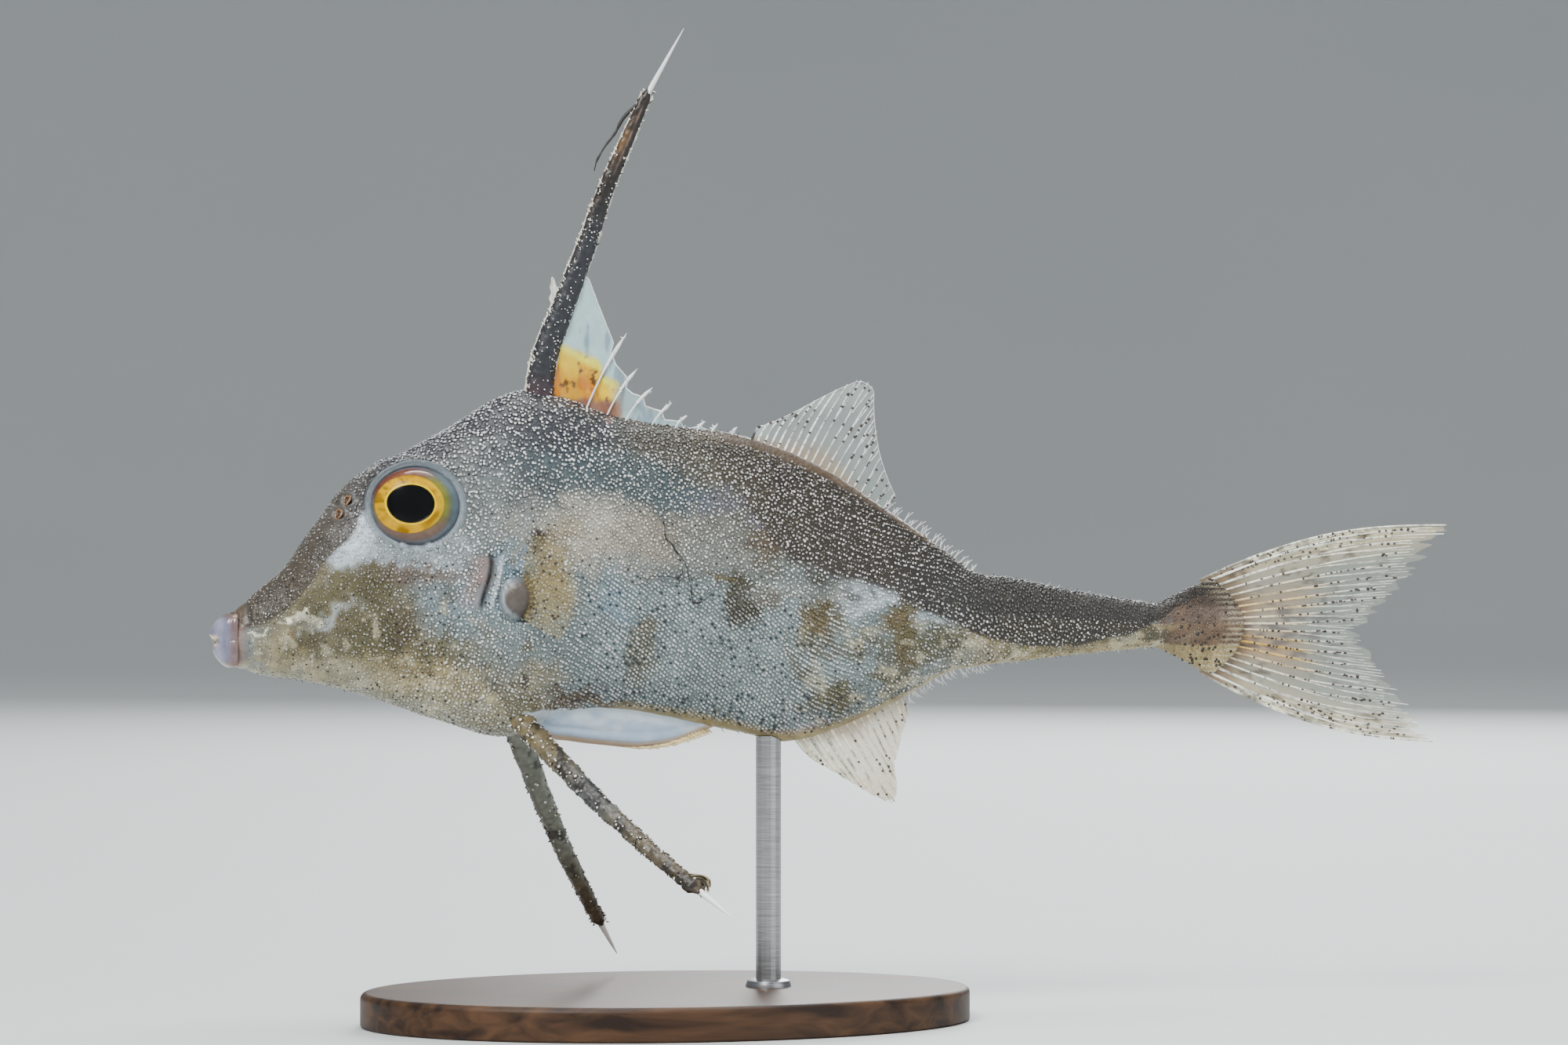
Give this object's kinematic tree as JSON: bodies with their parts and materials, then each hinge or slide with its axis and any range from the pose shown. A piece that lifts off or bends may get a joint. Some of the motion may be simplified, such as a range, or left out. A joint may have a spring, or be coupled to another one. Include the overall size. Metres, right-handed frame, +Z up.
{
  "type": "long-tail tripodfish model",
  "caption": "Life-size still model of a long-tail tripodfish swimming, with a tall barbed back spine and splayed pelvic spines, on a low oval display stand.",
  "frame": {"origin": "centre of the flat underside of the stand's oval base, on the surface that it rests on", "axes": "+X towards the tail, -X towards the snout, +Y towards the fish's right side, +Z up"},
  "size_m": [0.1499, 0.0515, 0.1164],
  "materials": {
    "skin": "wet satin",
    "lip": "satin",
    "eye": "gloss",
    "spine": "rough",
    "web": "satin",
    "fin": "satin",
    "keel": "satin",
    "base": "satin",
    "rod": "brushed"
  },
  "bodies": {
    "root": {"head": "skin", "trunk": "skin", "tail_stalk": "skin", "tail_base": "skin", "tail_fin_upper": "fin", "tail_fin_lower": "fin", "soft_dorsal_fin": "fin", "anal_fin": "fin", "pectoral_fin_left": "fin", "pectoral_fin_right": "fin", "first_dorsal_spine": "spine", "pelvic_spine_left": "spine", "pelvic_spine_right": "spine", "upper_lip": "lip", "lower_lip": "lip", "eye_left": "eye", "eye_right": "eye", "spinous_dorsal_fin": "web", "pelvic_keel": "keel", "stand_base": "base", "stand_rod": "rod"}
  },
  "joints": []
}
